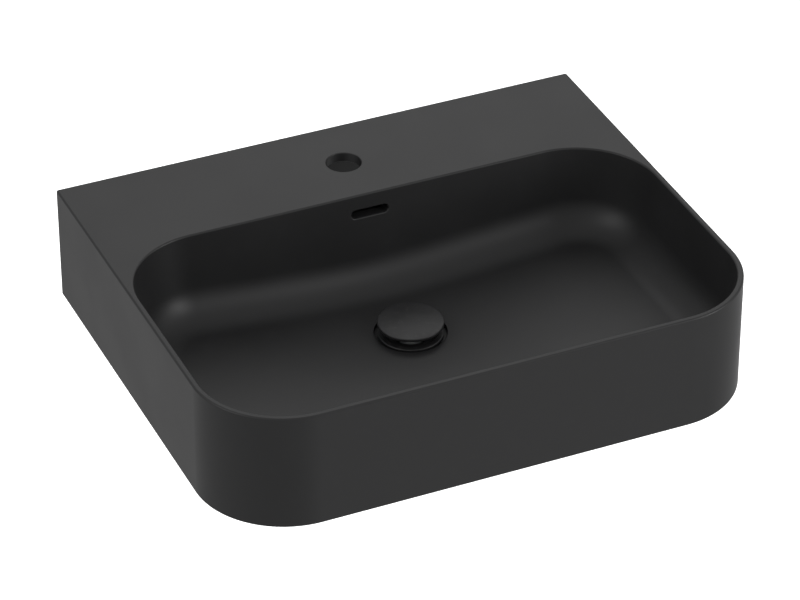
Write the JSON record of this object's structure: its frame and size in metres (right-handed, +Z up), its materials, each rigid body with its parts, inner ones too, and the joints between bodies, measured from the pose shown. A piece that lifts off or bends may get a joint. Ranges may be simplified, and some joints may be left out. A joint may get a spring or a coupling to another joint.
{
  "type": "wall-hung washbasin",
  "caption": "Wall-hung rectangular washbasin with a tap shelf, rounded front corners, a deep bowl, a slot overflow and a push-open waste.",
  "frame": {"origin": "centre of the two wall bolts, on the back face that meets the wall", "axes": "+Z up, +Y into the wall, +X to the right of a person who stands in front of the basin and faces the wall"},
  "size_m": [0.55, 0.515, 0.179],
  "materials": {
    "ceramic": "matt black glaze, fired, with a fine orange-peel surface",
    "black_metal": "matt black coating on brass",
    "brass": "turned, lightly dulled",
    "rubber": "moulded black rubber",
    "white_plastic": "moulded, slightly grained",
    "grey_plastic": "moulded acetal",
    "spring_steel": "drawn stainless wire",
    "zinc_steel": "zinc plated"
  },
  "bodies": {
    "basin": {"basin": "ceramic", "waste_body": "black_metal", "flange_gasket": "rubber", "tapered_gasket": "rubber", "slip_washer": "white_plastic", "back_nut": "brass", "barrel": "grey_plastic", "barrel_washer": "rubber", "barrel_nut": "grey_plastic", "barrel_plug": "grey_plastic", "click_spring": "spring_steel", "wall_bolts": "zinc_steel", "bolt_bushes": "white_plastic", "bolt_washers": "zinc_steel", "bolt_nuts": "zinc_steel"},
    "plug": {"waste_cap": "black_metal", "cap_seal": "rubber", "cap_locknut": "brass", "plunger": "white_plastic"},
    "click_rotor": {"rotor": "white_plastic"}
  },
  "joints": [
    {"name": "plug_slide", "type": "slide", "parent": "basin", "child": "plug", "axis": [0, 0, 1], "range_m": [-0.009, 0], "stiffness_N_per_m": 300, "springref_m": 0.01, "deforming": ["click_spring"]},
    {"name": "rotor_turn", "type": "hinge", "parent": "plug", "child": "click_rotor", "pos_m": [0, -0.2284, -0.06], "axis": [0, 0, 1], "range_deg": [0, 45]}
  ],
  "couplings": [
    {"joint": "rotor_turn", "follows": "plug_slide", "rad_per_m": -87.266}
  ]
}
